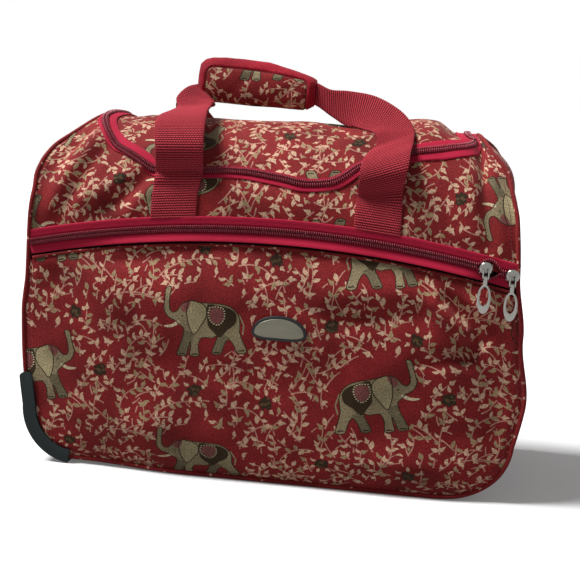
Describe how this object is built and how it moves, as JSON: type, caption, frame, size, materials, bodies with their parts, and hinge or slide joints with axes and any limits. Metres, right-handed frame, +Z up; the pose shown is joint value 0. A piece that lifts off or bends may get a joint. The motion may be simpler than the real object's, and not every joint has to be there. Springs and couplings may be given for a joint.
{
  "type": "carry-on bag",
  "caption": "Soft-sided wheeled carry-on duffel with a domed zip lid, an arched zip front pocket, webbing carry straps in a wrapped grip and a telescopic pull handle.",
  "frame": {"origin": "on the floor under the middle of the bag's box", "axes": "+Z up, +X along the width towards the pull handle's end, -Y out of the front pocket"},
  "size_m": [0.528, 0.2778, 0.4519],
  "materials": {
    "brocade": "woven brocade with a soft sheen",
    "lining": "plain woven lining",
    "base_cloth": "coated woven base cloth",
    "board": "fibre board",
    "piping": "corded brocade edge",
    "zip_tape": "fine ribbed zip tape",
    "zip_coil": "moulded coil",
    "bright_metal": "bright cast metal",
    "webbing": "ribbed woven webbing",
    "badge_black": "moulded",
    "pewter": "brushed pewter",
    "dark_plastic": "fine grained moulding",
    "steel": "ground",
    "hub": "moulded",
    "tyre": "moulded",
    "tube": "satin drawn tube",
    "button": "moulded"
  },
  "bodies": {
    "bag": {"pocket_panel": "brocade", "front_yoke": "brocade", "lid_panel": "brocade", "back_panel": "brocade", "left_end_panel": "brocade", "right_end_panel": "brocade", "grip_wrap": "brocade", "pocket_back_panel": "lining", "bottom_panel": "base_cloth", "bottom_board": "board", "edge_piping": "piping", "pocket_welt": "piping", "pocket_zip_upper_tape": "zip_tape", "pocket_zip_lower_tape": "zip_tape", "lid_zip_outer_tape": "zip_tape", "lid_zip_inner_tape": "zip_tape", "pocket_zip_upper_coil": "zip_coil", "pocket_zip_lower_coil": "zip_coil", "lid_zip_coil": "zip_coil", "front_strap": "webbing", "back_strap": "webbing", "badge_base": "badge_black", "badge_plate": "pewter", "wheel_base": "dark_plastic", "front_foot": "dark_plastic", "rear_foot": "dark_plastic", "handle_cup": "dark_plastic", "tube_bracket": "dark_plastic", "front_axle": "steel", "rear_axle": "steel", "front_outer_tube": "tube", "rear_outer_tube": "tube"},
    "left_slider": {"pocket_slider_left": "bright_metal"},
    "right_slider": {"pocket_slider_right": "bright_metal"},
    "left_pull": {"pocket_pull_left": "bright_metal"},
    "right_pull": {"pocket_pull_right": "bright_metal"},
    "lid_zip_slider": {"lid_slider": "bright_metal"},
    "lid_zip_pull": {"lid_pull": "bright_metal"},
    "front_wheel": {"front_wheel_hub": "hub", "front_wheel_tyre": "tyre"},
    "rear_wheel": {"rear_wheel_hub": "hub", "rear_wheel_tyre": "tyre"},
    "pull_handle": {"front_inner_tube": "tube", "rear_inner_tube": "tube", "hand_bar": "dark_plastic"},
    "button": {"bar_button": "button"}
  },
  "joints": [
    {"name": "front_wheel_spin", "type": "hinge", "parent": "bag", "child": "front_wheel", "pos_m": [-0.224, -0.0713, 0.021], "axis": [0, 1, 0], "continuous": true},
    {"name": "rear_wheel_spin", "type": "hinge", "parent": "bag", "child": "rear_wheel", "pos_m": [-0.224, 0.0887, 0.021], "axis": [0, 1, 0], "continuous": true},
    {"name": "handle_slide", "type": "slide", "parent": "bag", "child": "pull_handle", "axis": [1, 0, 0], "range_m": [0, 0.32]},
    {"name": "button_press", "type": "slide", "parent": "pull_handle", "child": "button", "axis": [-1, 0, 0], "range_m": [0, 0.003], "stiffness_N_per_m": 600},
    {"name": "left_slider_run", "type": "hinge", "parent": "bag", "child": "left_slider", "pos_m": [0, 0.0087, -0.867], "axis": [0, 1, 0], "range_deg": [-23.54, 0]},
    {"name": "right_slider_run", "type": "hinge", "parent": "bag", "child": "right_slider", "pos_m": [0, 0.0087, -0.867], "axis": [0, 1, 0], "range_deg": [-0.6, 0]},
    {"name": "left_pull_swing", "type": "hinge", "parent": "left_slider", "child": "left_pull", "pos_m": [0.218, -0.1248, 0.23257], "axis": [-1, 0, 0], "range_deg": [0, 110]},
    {"name": "right_pull_swing", "type": "hinge", "parent": "right_slider", "child": "right_pull", "pos_m": [0.245, -0.1248, 0.22692], "axis": [-1, 0, 0], "range_deg": [0, 110]},
    {"name": "lid_slider_run", "type": "hinge", "parent": "bag", "child": "lid_zip_slider", "pos_m": [0.195, 0.0087, 0.257], "axis": [1, 0, 0], "range_deg": [0, 58]},
    {"name": "lid_pull_swing", "type": "hinge", "parent": "lid_zip_slider", "child": "lid_zip_pull", "pos_m": [0.195, 0.10917, 0.34539], "axis": [1, 0, 0], "range_deg": [0, 110]}
  ]
}
